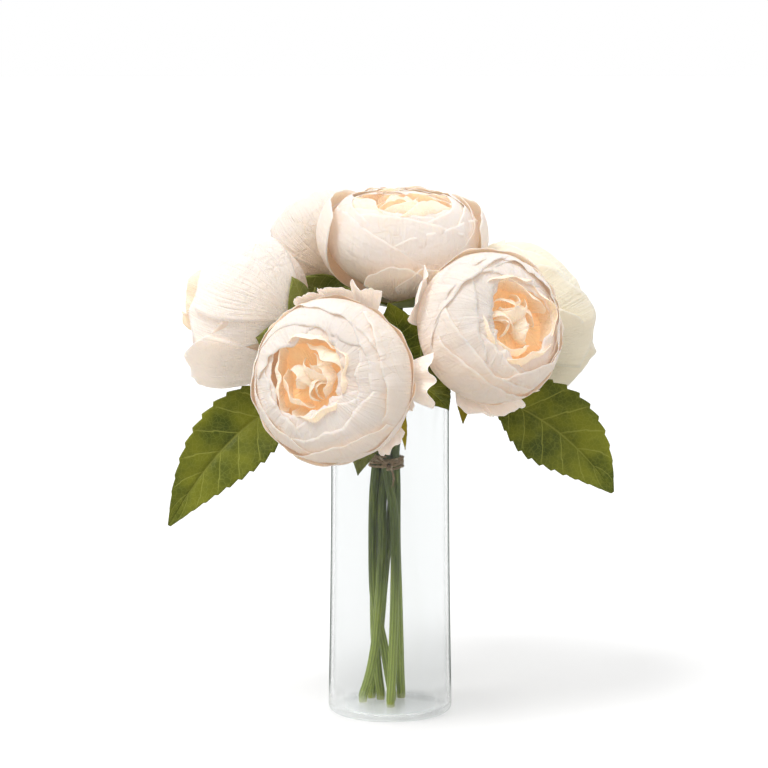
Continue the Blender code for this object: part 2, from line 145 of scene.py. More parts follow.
def sweep(path, sections, twist):
    # Rings of points along a path, one for each section, turned by twist from end to end
    ahead = np.gradient(path, axis=0)
    ahead /= np.linalg.norm(ahead, axis=1)[:, None]
    side = unit(np.cross(ahead[0], (0.31, 0.9, 0.2)))
    rings = []
    for n, (point, way, section) in enumerate(zip(path, ahead, sections)):
        side = unit(side - way * side.dot(way))
        other = np.cross(way, side)
        turn = twist * n / (len(path) - 1)
        a = side * math.cos(turn) + other * math.sin(turn)
        b = np.cross(way, a)
        rings.append(point + section[:, :1] * a + section[:, 1:] * b)
    return np.array(rings)


def shaderNode(tree, kind, inputs=None, **settings):
    made = tree.nodes.new("ShaderNode" + kind)
    for key, value in settings.items():
        setattr(made, key, value)
    for key, value in (inputs or {}).items():
        socket = made.inputs[key]
        if isinstance(value, bpy.types.NodeSocket):
            tree.links.new(value, socket)
        else:
            socket.default_value = value
    return made


def attribute(tree, name):
    return shaderNode(tree, "Attribute", attribute_name=name).outputs["Fac"]


def maths(tree, operation, a, b=0.0):
    return shaderNode(tree, "Math", {0: a, 1: b}, operation=operation).outputs[0]


def times(tree, a, b):
    return maths(tree, "MULTIPLY", a, b)


def noise(tree, where, scale, detail, output="Fac", **more):
    inputs = {"Vector": where, "Scale": scale, "Detail": detail, **more}
    return shaderNode(tree, "TexNoise", inputs).outputs[output]


def cellEdges(tree, where, scale):
    # How far a place is from the nearest border between cells
    found = shaderNode(tree, "TexVoronoi", {"Vector": where, "Scale": scale}, feature="DISTANCE_TO_EDGE")
    return found.outputs[0]


def bumpNormal(tree, height, strength, distance):
    return shaderNode(tree, "Bump", {"Height": height, "Strength": strength, "Distance": distance}).outputs[0]


def objectSpot(tree):
    return shaderNode(tree, "TexCoord").outputs["Object"]


def blendColour(tree, factor, a, b):
    made = shaderNode(tree, "Mix", {"Factor": factor}, data_type="RGBA")
    for socket, value in ((made.inputs[6], a), (made.inputs[7], b)):
        if isinstance(value, bpy.types.NodeSocket):
            tree.links.new(value, socket)
        else:
            socket.default_value = (*value, 1.0)
    return made.outputs[2]


def ramp(tree, factor, low, high, a=0.0, b=1.0):
    # A smooth step from a to b while the factor goes from low to high
    inputs = {"Value": factor, "From Min": low, "From Max": high, "To Min": a, "To Max": b}
    return shaderNode(tree, "MapRange", inputs, interpolation_type="SMOOTHSTEP").outputs[0]


def newGroup(name, inputs, outputs):
    # A shader group of plain numbers: inputs by name with their first values, and outputs by name
    group = bpy.data.node_groups.new(name, "ShaderNodeTree")
    for label, start in inputs.items():
        socket = group.interface.new_socket(label, in_out="INPUT", socket_type="NodeSocketFloat")
        socket.default_value = start
    for label in outputs:
        group.interface.new_socket(label, in_out="OUTPUT", socket_type="NodeSocketFloat")
    return group, group.nodes.new("NodeGroupInput").outputs, group.nodes.new("NodeGroupOutput").inputs


def useGroup(tree, group, inputs):
    made = tree.nodes.new("ShaderNodeGroup")
    made.node_tree = group
    for key, value in inputs.items():
        if isinstance(value, bpy.types.NodeSocket):
            tree.links.new(value, made.inputs[key])
        else:
            made.inputs[key].default_value = value
    return made.outputs


def newLook(name):
    look = bpy.data.materials.new(name)
    look.use_nodes = True
    return look, look.node_tree, look.node_tree.nodes["Principled BSDF"]


def setShader(tree, shader, linked, **plain):
    # Links what varies over the surface, and sets what is the same all over
    for key, value in plain.items():
        shader.inputs[key.replace("_", " ")].default_value = value
    for key, value in linked.items():
        tree.links.new(value, shader.inputs[key])


silkMake = {
    "ribs": 26.0, "ribLength": 2.2,     # fine ribs that fan out along a petal
    "folds": (7.0, 19.0),               # soft folds across and along a petal
    "creases": 58.0, "creaseWidth": 0.06, "creaseBend": 0.03,
    "dents": 70.0, "clouds": 14.0, "weave": 900.0,
    "heights": {"ribs": 1.0, "creases": -0.16, "folds": 1.1, "dents": 0.9, "weave": 0.03},
    "calmEdge": (0.5, 0.95, 0.32),      # where along it a petal starts and ends to calm, and to how much
    "bump": 2.6 * mm,
}


def makeCrinkle():
    # Pressed silk: ribs along the petal, folds and dents, and a few sharp creases that cross them
    tree, given, put = newGroup("silk crinkle", {"Along": 0.5, "Across": 0.0, "Seed": 0.0},
                                ("Height", "Crease", "Cloud"))
    along, across, shift = given["Along"], given["Across"], times(tree, given["Seed"], 37.0)
    heights = silkMake["heights"]

    def spread(sideways, lengthways):
        return shaderNode(tree, "CombineXYZ", {
            0: times(tree, across, sideways), 1: times(tree, along, lengthways), 2: shift}).outputs[0]

    spot = objectSpot(tree)
    ribs = noise(tree, spread(silkMake["ribs"], silkMake["ribLength"]), 1.0, 4.0, Roughness=0.6)
    bent = blendColour(tree, silkMake["creaseBend"], spot, noise(tree, spot, 38.0, 2.0, "Color"))
    crease = ramp(tree, cellEdges(tree, bent, silkMake["creases"]), 0.0, silkMake["creaseWidth"], 1.0, 0.0)
    crease = times(tree, crease, ramp(tree, noise(tree, spot, 34.0, 1.0), 0.46, 0.62))
    cloud = noise(tree, spot, silkMake["clouds"], 3.0)
    folds = times(tree, noise(tree, spread(*silkMake["folds"]), 1.0, 2.0, Distortion=0.6), cloud)
    dents = noise(tree, spot, silkMake["dents"], 3.0)
    weave = noise(tree, spot, silkMake["weave"], 1.0)
    height = times(tree, ribs, heights["ribs"])
    for value, share in ((crease, heights["creases"]), (folds, heights["folds"]),
                         (dents, heights["dents"]), (weave, heights["weave"])):
        height = maths(tree, "ADD", height, times(tree, value, share))
    start, end, least = silkMake["calmEdge"]
    height = times(tree, height, ramp(tree, along, start, end, 1.0, least))
    for label, value in (("Height", height), ("Crease", crease), ("Cloud", cloud)):
        tree.links.new(value, put[label])
    return tree


# Side veins leave the midrib in pairs and sweep forwards; the leaf's mesh rises between the same lines
veinMake = {"pairs": 8.0, "sweep": 0.17, "bend": 0.85, "midrib": 0.045, "side": 0.055, "net": 330.0}


def makeVeins():
    # Leaf veins: a midrib and side veins, with a fine net between them
    tree, given, put = newGroup("leaf veins", {"Along": 0.5, "Across": 0.0}, ("Vein", "Net"))
    away = maths(tree, "ABSOLUTE", given["Across"])
    midrib = ramp(tree, away, 0.0, veinMake["midrib"], 1.0, 0.0)
    back = times(tree, maths(tree, "POWER", away, veinMake["bend"]), veinMake["sweep"])
    swept = maths(tree, "SUBTRACT", given["Along"], back)
    phase = maths(tree, "FRACT", times(tree, swept, veinMake["pairs"]))
    line = maths(tree, "ABSOLUTE", maths(tree, "SUBTRACT", phase, 0.5))
    side = ramp(tree, line, 0.0, veinMake["side"], 1.0, 0.0)
    side = times(tree, side, ramp(tree, away, 0.75, 1.0, 1.0, 0.15))
    net = ramp(tree, cellEdges(tree, objectSpot(tree), veinMake["net"]), 0.0, 0.09, 1.0, 0.0)
    tree.links.new(maths(tree, "MAXIMUM", midrib, side), put["Vein"])
    tree.links.new(net, put["Net"])
    return tree


crinkle = makeCrinkle()
veins = makeVeins()


def petalLook(name, tint, base, shadeAndMottle, through=0.12, glow=0.08):
    # Silk petal: tint at its free edge, base colour below, and painted shade in the shade colour towards its
    # base, under its tucked sides and along its creases; that colour also tints its mottle. Its edges carry a
    # painted highlight. Through is how much light passes into the cloth, and glow is painted light: emission
    # that stands for light that reaches it from behind
    look, tree, shader = newLook(name)
    along, across, seed = attribute(tree, "along"), attribute(tree, "across"), attribute(tree, "seed")
    deep, rim = attribute(tree, "deep"), attribute(tree, "rim")
    silk = useGroup(tree, crinkle, {"Along": along, "Across": across, "Seed": seed})
    shade = blendColour(tree, ramp(tree, along, 0.0, 0.75), base, tint)
    # painted shade: deep turns the colour towards the shade colour at the petal's base and under its tucked
    # sides
    shade = blendColour(tree, deep, shade, shadeAndMottle)
    clouds = times(tree, ramp(tree, silk["Cloud"], 0.35, 0.7), 0.35)
    shade = blendColour(tree, clouds, shade, blendColour(tree, 0.5, tint, shadeAndMottle))
    # painted shade along the creases
    shade = blendColour(tree, times(tree, silk["Crease"], 0.10), shade, shadeAndMottle)
    # painted highlight along the free edge and sides
    shade = blendColour(tree, times(tree, rim, 0.50), shade, (0.96, 0.92, 0.86))
    # painted glow: emission in a warm mix, turning to the shade colour where shade is painted
    paintedGlowColour = blendColour(tree, deep, blendColour(tree, 0.2, tint, shadeAndMottle), shadeAndMottle)
    setShader(tree, shader, {"Base Color": shade, "Emission Color": paintedGlowColour,
                             "Normal": bumpNormal(tree, silk["Height"], 1.0, silkMake["bump"]),
                             "Roughness": ramp(tree, silk["Cloud"], 0.2, 0.8, 0.62, 0.78)},
              Subsurface_Weight=through, Subsurface_Scale=2.5 * mm, Subsurface_Radius=(1.0, 0.55, 0.30),
              Sheen_Weight=0.05, Specular_IOR_Level=0.2, Emission_Strength=glow)
    return look


def leafLook(name, dark, light, vein, rough=0.5):
    # Printed cloth leaf, mottled from dark to light between its veins
    look, tree, shader = newLook(name)
    lines = useGroup(tree, veins, {"Along": attribute(tree, "along"), "Across": attribute(tree, "across")})
    spot = objectSpot(tree)
    patch, fine = noise(tree, spot, 45.0, 4.0), noise(tree, spot, 420.0, 3.0)
    shade = blendColour(tree, ramp(tree, patch, 0.32, 0.68), dark, light)
    shade = blendColour(tree, times(tree, lines["Net"], 0.22), shade, vein)
    shade = blendColour(tree, times(tree, lines["Vein"], 0.62), shade, vein)
    shade = blendColour(tree, times(tree, ramp(tree, fine, 0.5, 0.8), 0.25), shade, light)
    height = maths(tree, "SUBTRACT", times(tree, fine, 0.25), times(tree, lines["Vein"], 0.8))
    setShader(tree, shader, {"Base Color": shade, "Normal": bumpNormal(tree, height, 0.5, 0.5 * mm),
                             "Roughness": ramp(tree, patch, 0.2, 0.8, rough - 0.06, rough + 0.12)},
              Specular_IOR_Level=0.25)
    return look


def stemLook(name, dark, pale, cut):
    # Moulded green stem with painted shade: darker in its grooves and over its upper part, paler below a wavy
    # line towards the cut foot
    look, tree, shader = newLook(name)
    along, groove, low = attribute(tree, "along"), attribute(tree, "groove"), attribute(tree, "low")
    streak = shaderNode(tree, "Mapping", {"Vector": objectSpot(tree), "Scale": (700.0, 700.0, 45.0)})
    fibre = noise(tree, streak.outputs[0], 1.0, 3.0)
    # painted shade: dark above the wavy line, pale below it
    shade = blendColour(tree, low, dark, pale)
    # painted shade in the grooves
    shade = blendColour(tree, times(tree, groove, 0.55), shade, tuple(c * 0.45 for c in dark))
    shade = blendColour(tree, times(tree, ramp(tree, fibre, 0.45, 0.8), 0.35), shade, cut)
    shade = blendColour(tree, ramp(tree, along, 0.018, 0.0), shade, cut)
    setShader(tree, shader, {"Base Color": shade, "Normal": bumpNormal(tree, fibre, 0.35, 0.3 * mm),
                             "Roughness": ramp(tree, fibre, 0.2, 0.8, 0.34, 0.55)}, Specular_IOR_Level=0.45)
    return look


def twineLook(name, dark, light, dusty):
    # Dry plant fibre: fine strands along the cord, and dusty patches
    look, tree, shader = newLook(name)
    across, along = times(tree, attribute(tree, "across"), 7.0), times(tree, attribute(tree, "along"), 30.0)
    strands = noise(tree, shaderNode(tree, "CombineXYZ", {0: across, 1: along}).outputs[0], 2.0, 5.0)
    patch = noise(tree, objectSpot(tree), 240.0, 3.0)
    shade = blendColour(tree, ramp(tree, strands, 0.35, 0.7), dark, light)
    shade = blendColour(tree, ramp(tree, patch, 0.5, 0.75), shade, dusty)
    setShader(tree, shader, {"Base Color": shade, "Normal": bumpNormal(tree, strands, 0.8, 0.4 * mm),
                             "Roughness": ramp(tree, patch, 0.2, 0.8, 0.8, 0.95)}, Specular_IOR_Level=0.2)
    return look


glassMake = {
    "index": 1.25,
    "edge": (0.64, 0.86),  # from 0, seen square on, to 1, grazing: where the painted dark outline comes in
    "face": ((0.89, 0.90, 0.90), (0.22, 0.25, 0.23)),     # refracted light, seen square on and grazing, painted dark when grazing
    "clear": ((0.965, 0.97, 0.97), (0.36, 0.39, 0.37)),   # light that goes straight through, likewise painted dark when grazing
    "edgeShare": 0.85, "footShare": 0.7,                  # share of straight light there
}


def glassLook(name):
    # Clear glass with a painted dark outline where it is seen grazing. Shadows, the grazing outline and the
    # thick foot let light straight through
    look, tree, shader = newLook(name)
    spot = objectSpot(tree)
    smear, ripple = noise(tree, spot, 26.0, 3.0), noise(tree, spot, 30.0, 1.0)
    facing = shaderNode(tree, "LayerWeight", {"Blend": 0.5}).outputs["Facing"]
    # painted shade: the outer wall darkens towards its grazing outline
    edge = times(tree, ramp(tree, facing, *glassMake["edge"]), attribute(tree, "outer"))
    setShader(tree, shader, {"Base Color": blendColour(tree, edge, *glassMake["face"]),
                             "Roughness": ramp(tree, smear, 0.45, 0.8, 0.0, 0.003),
                             "Normal": bumpNormal(tree, ripple, 0.003, 1.0 * mm)},
              Transmission_Weight=1.0, Metallic=0.0, IOR=glassMake["index"])
    through = blendColour(tree, edge, *glassMake["clear"])
    straight = shaderNode(tree, "BsdfTransparent", {"Color": through}).outputs[0]
    shadow = shaderNode(tree, "LightPath").outputs["Is Shadow Ray"]
    share = maths(tree, "MAXIMUM", shadow, times(tree, edge, glassMake["edgeShare"]))
    share = maths(tree, "MAXIMUM", share, times(tree, attribute(tree, "foot"), glassMake["footShare"]))
    mixed = shaderNode(tree, "MixShader", {0: share, 1: shader.outputs[0], 2: straight}).outputs[0]
    tree.links.new(mixed, tree.nodes["Material Output"].inputs["Surface"])
    return look


looks = {
    # The last two numbers are how much light passes into the cloth and the painted glow. The collar look is
    # cream painted lighter, with more painted glow, for loose petals that lie in shade
    "cream": petalLook("cream petal", (0.92, 0.82, 0.74), (0.90, 0.71, 0.55), (0.95, 0.60, 0.33), 0.3, 0.07),
    "creamInside": petalLook("cream petal inside", (0.92, 0.79, 0.67), (0.94, 0.65, 0.42),
                             (0.95, 0.58, 0.31), 0.3, 0.12),
    "collar": petalLook("cream collar petal painted lighter", (0.93, 0.85, 0.79), (0.93, 0.82, 0.72),
                        (0.94, 0.77, 0.60), 0.3, 0.23),
    "ivory": petalLook("ivory petal", (0.89, 0.83, 0.68), (0.82, 0.73, 0.52), (0.84, 0.69, 0.44), 0.12, 0.12),
    "ivoryInside": petalLook("ivory petal inside", (0.82, 0.74, 0.58), (0.78, 0.55, 0.28),
                             (0.78, 0.52, 0.24)),
    "peach": petalLook("peach petal", (0.96, 0.82, 0.66), (0.96, 0.68, 0.42), (0.97, 0.50, 0.17), 0.4, 0.24),
    "leaf": leafLook("leaf", (0.062, 0.085, 0.004), (0.205, 0.220, 0.014), (0.38, 0.40, 0.08)),
    "leafBack": leafLook("leaf underside", (0.13, 0.16, 0.04), (0.24, 0.27, 0.09), (0.36, 0.38, 0.15), 0.6),
    "gold": leafLook("golden bract", (0.22, 0.18, 0.006), (0.42, 0.34, 0.02), (0.50, 0.44, 0.08)),
    "calyx": leafLook("calyx", (0.12, 0.15, 0.02), (0.25, 0.27, 0.06), (0.38, 0.38, 0.12)),
    "stem": stemLook("stem", (0.075, 0.115, 0.008), (0.29, 0.37, 0.07), (0.42, 0.46, 0.08)),
    "twine": twineLook("twine fibre", (0.20, 0.12, 0.065), (0.52, 0.39, 0.23), (0.66, 0.54, 0.38)),
    "glass": glassLook("clear glass"),
}
print("materials ready")


vaseMake = {
    "segments": 160, "heel": 4.0 * mm, "corner": 3.0 * mm,
    "hollow": 0.9 * mm,  # how far the middle of the underside stands off the table
    "levels": 18,        # rings up each side of the wall
}


def arcPoints(centre, radius, start, end, steps):
    turns = np.radians(np.linspace(start, end, steps + 1))
    return [(centre[0] + radius * math.cos(t), centre[1] + radius * math.sin(t)) for t in turns]


def makeVase():
    # The wall, floor and rim are measured on the CAD vase; the heel, corner and lip are rounded here
    points, _ = weldedNode("vase")
    radii = np.hypot(points[:, 0], points[:, 1])
    height = points[:, 2].max()
    half = np.abs(points[:, 2] - height / 2) < 0.5 * mm
    wall = radii[half].max() - radii[half].min()
    heel, corner, lip, hollow = vaseMake["heel"], vaseMake["corner"], wall / 2, vaseMake["hollow"]
    inside = radii < radii.max() - wall - 0.9 * corner
    floor = points[inside & (points[:, 2] > 0.5 * mm), 2].min()
    rim = radii[points[:, 2] > height - 1.5 * wall].max()
    foot = radii.max()
    middle = 0.0005  # the smallest ring, as a share of the radius there

    def outside(z):
        return rim + (foot - rim) * (1 - z / height) ** 2

    levels = np.linspace(0.1, 0.95, vaseMake["levels"])
    inner = floor + corner
    cornerAt = outside(inner) - wall - corner
    profile = [(cornerAt * s, floor) for s in (middle, 0.3, 0.6, 0.85)]
    profile += arcPoints((cornerAt, inner), corner, -90, 0, 8)
    profile += [(outside(height * s) - wall, height * s) for s in levels]
    innerCount = len(profile)
    profile += arcPoints((rim - lip, height - lip), lip, 180, 0, 12)
    profile += [(outside(height * s), height * s) for s in levels[::-1]]
    profile += arcPoints((outside(heel) - heel, heel), heel, 0, -90, 10)
    footAt = outside(heel) - heel
    profile += [(footAt * 0.93, 0.0), (footAt * 0.86, hollow - 0.2 * mm)]
    profile += [(footAt * 0.5, hollow), (middle * footAt, hollow)]
    profile = np.array(profile)
    outerSide = np.arange(len(profile)) > innerCount
    turns = np.linspace(0, tau, vaseMake["segments"], endpoint=False)
    rings = np.stack([profile[:, :1] * np.cos(turns), profile[:, :1] * np.sin(turns),
                      np.repeat(profile[:, 1:], len(turns), axis=1)], axis=-1)
    # outer: 1 where the glass's painted dark outline shows in full, a fifth of it elsewhere; foot: the heel
    # and underside
    marks = {"outer": np.where(outerSide & (profile[:, 1] > 1.5 * heel), 1.0, 0.2)[:, None],
             "foot": np.where(outerSide & (profile[:, 1] < 1.2 * heel), 1.0, 0.0)[:, None]}
    mesh = gridsToMesh("vase", [(rings, marks)], [looks["glass"]], closed=True, caps=True)
    flipIfInward(mesh)
    place("vase", mesh, "glass", "vase")


def flipIfInward(mesh):
    # Turns a closed mesh's faces outwards, judged by the volume they hold
    volume = sum(face.area * face.normal.dot(face.center) for face in mesh.polygons)
    if volume < 0:
        mesh.flip_normals()


makeVase()
print("vase made")


stemMake = {
    "ridges": 9, "depth": 0.10, "around": 54, "along": 130,
    "twist": 0.5,                          # turn of the ridges from foot to bloom
    "pinch": 0.10, "pinchLength": 1 / 150,  # the cut foot is pressed in over this share of the stem
    # the painted shade on the upper stem ends at a wavy line this high
    "shadowLine": 88 * mm, "shadowLineWave": 9 * mm, "shadowLineBlend": 5.0 * mm,
}


def stemPath(name):
    # The middle of each row of the CAD stem's points, and its radius
    points, near = weldedNode(name)
    first = {n for n, p in enumerate(points) if p[2] < points[:, 2].min() + 0.1 * mm}
    rows = rowsFrom(points, near, first)
    middles = [row.mean(axis=0) for row in rows]
    radius = np.mean([np.linalg.norm(row - middle, axis=1).mean() for row, middle in zip(rows, middles)])
    return middles, radius


def makeStem(bloom, number):
    # A ridged stem along the CAD stem's route, pinched at its cut foot
    path, radius = stemPath("stem_" + bloom)
    path = smoothPath(path, stemMake["along"])
    around = np.linspace(0, tau, stemMake["around"], endpoint=False)
    wave = 0.5 + 0.5 * np.cos(stemMake["ridges"] * around + number)
    reach = radius * (1 - stemMake["depth"] * (1 - wave) ** 1.5)
    section = np.stack([reach * np.cos(around), reach * np.sin(around)], axis=1)
    along = np.linspace(0, 1, len(path))
    sections = [section * (1 - stemMake["pinch"] * math.exp(-a / stemMake["pinchLength"])) for a in along]
    rings = sweep(path, sections, twist=stemMake["twist"])
    # Painted shade: low is 1 below the wavy line and 0 above it, where the stem is painted dark; groove marks
    # the painted shade in the grooves
    bend = stemMake["shadowLineWave"] * np.sin(2.0 * around + number)[None, :]
    low = 1 / (1 + np.exp((rings[..., 2] - stemMake["shadowLine"] - bend) / stemMake["shadowLineBlend"]))
    marks = {"along": along[:, None], "groove": ((1 - wave) ** 2)[None, :], "low": low}
    mesh = gridsToMesh("stem_" + bloom, [(rings, marks)], [looks["stem"]], closed=True, caps=True)
    place("stem_" + bloom, mesh, "stem", "stem_" + bloom)
    return path


bloomMake = {
    "aspect": 0.78,        # half height over radius
    "calyxGap": 5.6 * mm,  # from the outer petals to the calyx's underside
    "crown": 0.30,         # how much the top is pressed flat
    "silk": 0.26 * mm,
    "rows": 30, "columns": 34,
}

# rings: turn in degrees, count and top angle of each ring of cupped petals, outermost first
# open, way, shift: the opening's size, and which way and how far it is off the bloom's axis
# nest: turn of the folded petals in the opening; fill: how high they stand; slim: mm off all cups
# gape: growth of the cups' flare; warmCollars: collar petals are coloured as cups, without the collar look's
# painted light
# collars: loose outer petals that face a way, with half their angle, top angle, flare in mm, lean in
# mm from side to side, and how many mm they clear the cups by
blooms = {
    "front": {
        "seed": 11, "looks": ("cream", "creamInside"),
        "rings": ((20, 4, 1.50), (75, 4, 2.12), (10, 4, 2.34), (50, 5, 2.50), (20, 5, 2.64)),
        "open": 0.46, "way": (-1.0, 0.0, 0.35), "shift": 0.25, "nest": 30,
        "collars": (
            {"way": (-0.42, 0.0, 1.0), "half": 10, "top": 1.72, "flare": 2.5},
            {"way": (-0.05, 0.0, 1.0), "half": 12, "top": 1.72, "flare": 4.5},
            {"way": (0.32, 0.0, 1.0), "half": 10, "top": 1.74, "flare": 9},
            {"way": (1.0, 0.0, 0.0), "half": 16, "top": 1.62, "flare": 12},
            {"way": (1.0, 0.0, -0.32), "half": 5, "top": 1.32, "flare": 1},
            {"way": (0.68, 0.0, -0.73), "half": 12, "top": 1.48, "flare": 4},
        ),
    },
    "top": {
        "seed": 23, "looks": ("cream", "creamInside"),
        "rings": ((215, 4, 2.16), (270, 4, 2.26), (240, 4, 2.34), (275, 5, 2.40), (250, 5, 2.44)),
        "open": 0.56, "way": (0.0, -1.0, 0.0), "shift": 0.24, "nest": 80, "fill": 0.84, "slim": 4.0,
        "warmCollars": True,
        "collars": (
            {"way": (-1.0, 0.30, 0.0), "half": 50, "top": 2.22, "flare": 0, "lean": 2.6},
            {"way": (1.0, 0.36, 0.0), "half": 48, "top": 2.16, "flare": 0, "lean": -2.2},
            {"way": (-0.05, -1.0, 0.0), "half": 24, "top": 1.36, "flare": 5},
            {"way": (0.40, -1.0, 0.0), "half": 26, "top": 1.34, "flare": 5},
        ),
    },
    "right": {
        "seed": 37, "looks": ("cream", "creamInside"),
        "rings": ((150, 4, 1.98), (215, 4, 2.18), (170, 4, 2.36), (200, 5, 2.50), (185, 5, 2.62)),
        "open": 0.54, "way": (1.0, 0.0, 0.15), "shift": 0.24, "nest": 60,
        "collars": (
            {"way": (-1.0, 0.0, 0.36), "half": 20, "top": 1.74, "flare": 7},
            {"way": (-0.22, 0.0, -1.0), "half": 15, "top": 1.46, "flare": 6},
            {"way": (0.22, 0.0, -1.0), "half": 20, "top": 1.44, "flare": 6},
        ),
    },
    "left": {
        "seed": 41, "looks": ("cream", "creamInside"),
        "rings": ((250, 4, 1.50), (300, 4, 1.86), (270, 4, 2.16), (310, 5, 2.42), (265, 5, 2.62)),
        "open": 0.46, "way": (-0.3, -1.0, 0.3), "shift": 0.26, "nest": 0, "fill": 1.30,
        "collars": (
            {"way": (-0.35, -0.7, -1.0), "half": 40, "top": 1.88, "flare": 7},
            {"way": (0.5, -1.0, 0.5), "half": 46, "top": 2.20, "flare": 3.2, "clear": 2.8},
            {"way": (-1.0, -0.4, 0.5), "half": 38, "top": 2.05, "flare": 3.6},
            {"way": (0.2, 0.8, -0.5), "half": 36, "top": 1.70, "flare": 7},
        ),
    },
    "rear_left": {
        "seed": 53, "looks": ("cream", "creamInside"),
        "rings": ((250, 4, 1.54), (300, 4, 1.90), (10, 4, 2.20), (40, 5, 2.46), (20, 5, 2.62)),
        "open": 0.46, "way": (1.0, 0.0, 0.0), "shift": 0.0, "nest": 0, "gape": 1.3,
        "warmCollars": True,
        "collars": (
            {"way": (-1.0, 0.2, -0.2), "half": 36, "top": 1.76, "flare": 7},
            {"way": (0.0, -1.0, 0.6), "half": 44, "top": 2.15, "flare": 1.2, "clear": 2.4},
            {"way": (0.5, 0.9, -0.6), "half": 36, "top": 1.76, "flare": 7},
        ),
    },
    "rear_right": {
        "seed": 67, "looks": ("ivory", "ivoryInside"),
        "rings": ((330, 4, 1.58), (20, 4, 1.92), (350, 4, 2.20), (15, 5, 2.44), (340, 5, 2.62)),
        "open": 0.46, "way": (1.0, 0.0, 0.0), "shift": 0.0, "nest": 0, "gape": 1.3,
        "collars": (
            {"way": (0.6, -0.8, 0.1), "half": 40, "top": 1.80, "flare": 8},
            {"way": (0.5, -0.9, -0.6), "half": 38, "top": 1.72, "flare": 6},
            {"way": (0.1, 0.7, -0.9), "half": 36, "top": 1.70, "flare": 7},
        ),
    },
}


def bloomFrame(name):
    # Centre, axis and radius of a bloom, from its calyx, its core and its cupped petals
    calyx, core = weldedNode("calyx_" + name)[0], weldedNode("inner_petals_" + name)[0]
    axis = unit(core.mean(axis=0) - calyx.mean(axis=0))
    middle = calyx.mean(axis=0)
    cups = np.vstack([weldedNode(f"petal_{name}_{n}")[0] for n in (1, 2, 3)])
    out = cups - middle
    out -= np.outer(out @ axis, axis)
    radius = np.linalg.norm(out, axis=1).max()
    halfHeight = bloomMake["aspect"] * radius
    lowest = ((calyx - middle) @ axis).min()
    centre = middle + axis * (lowest + bloomMake["calyxGap"] + halfHeight)
    right = np.array([1.0, 0.0, 0.0])
    side = unit(right - axis * right.dot(axis))
    return {"centre": centre, "axis": axis, "side": side, "other": np.cross(axis, side),
            "radius": radius, "half": halfHeight}


def azimuthOf(bloom, way):
    # The angle round the bloom's axis at which a direction points
    return math.atan2(np.dot(way, bloom["other"]), np.dot(way, bloom["side"]))


def inBloom(bloom, ring, azimuth, lift):
    # Points from their distance to the bloom's axis, angle round it and height along it
    ring, azimuth, lift = np.broadcast_arrays(ring, azimuth, lift)
    return (bloom["centre"] + (ring * np.cos(azimuth))[..., None] * bloom["side"]
            + (ring * np.sin(azimuth))[..., None] * bloom["other"] + lift[..., None] * bloom["axis"])


def onShell(bloom, polar, azimuth, offset):
    # Points on the bloom's rounded shell, by angle up from the calyx, angle round and offset
    height = -np.cos(polar)
    pressed = 1 - bloomMake["crown"] * np.clip(height, 0, 1) ** 4
    ring = (bloom["radius"] + offset) * np.sin(polar)
    return inBloom(bloom, ring, azimuth, (bloom["half"] + offset) * height * pressed)


def waves(rng, v, count, low, high):
    # A gentle random line: a few sines, each finer and fainter than the last
    total = np.zeros_like(v)
    for n in range(count):
        pitch = rng.uniform(low, high)
        total += rng.uniform(0.4, 1.0) / (n + 1) * np.sin(pitch * (n + 1) * v + rng.uniform(0, tau))
    return total / 1.5


cupMake = {
    "rows": 34, "columns": 56,
    "start": 0.26, "topmost": 2.86,  # angles up from the calyx: where a cup starts, and may end
    "rounding": 0.50, "nicks": 0.016, "slant": (0.10, 0.38),  # the free edge, as angles
    "overlap": 0.86,                 # half a cup's width, as a share of its ring's spacing
    "scatter": 0.16,                 # spread of the top angles, but for the innermost ring
    # in mm:
    "sink": (0.8, 1.1),              # the outer ring's depth in the shell, and each further ring's
    "tuck": 0.8,                     # one side lies over the next petal, the other under
    "belly": (1.0, 1.9), "bellyDown": 0.45, "wave": 0.50, "dimples": 0.50, "ribs": 0.16, "folds": 0.28,
    "sideCurl": 0.6,
    # for each ring, outermost first, in mm:
    "flare": (1.6, 1.4, 1.1, 0.5, -0.2), "ruffle": (1.8, 1.4, 1.0, 0.8, 0.7),
    "jag": (0.05, 0.012),            # lobes of the free edge as an angle: outer ring, and each further
}


def petalGrid(make):
    # u runs from a petal's base to its free edge, and v from one side to the other
    return np.linspace(0, 1, make["rows"])[:, None], np.linspace(-1, 1, make["columns"])[None, :]


def rimHighlight(u, v, end, side, above=-1.0):
    # Where a petal's painted highlight goes: 1 along the free edge and the two sides; end and side say where
    # it starts and how fast it grows
    sides = np.clip((np.abs(v) - side[0]) / side[1], 0, 1) * (u > above)
    return np.maximum(np.clip((u - end[0]) / end[1], 0, 1), sides)


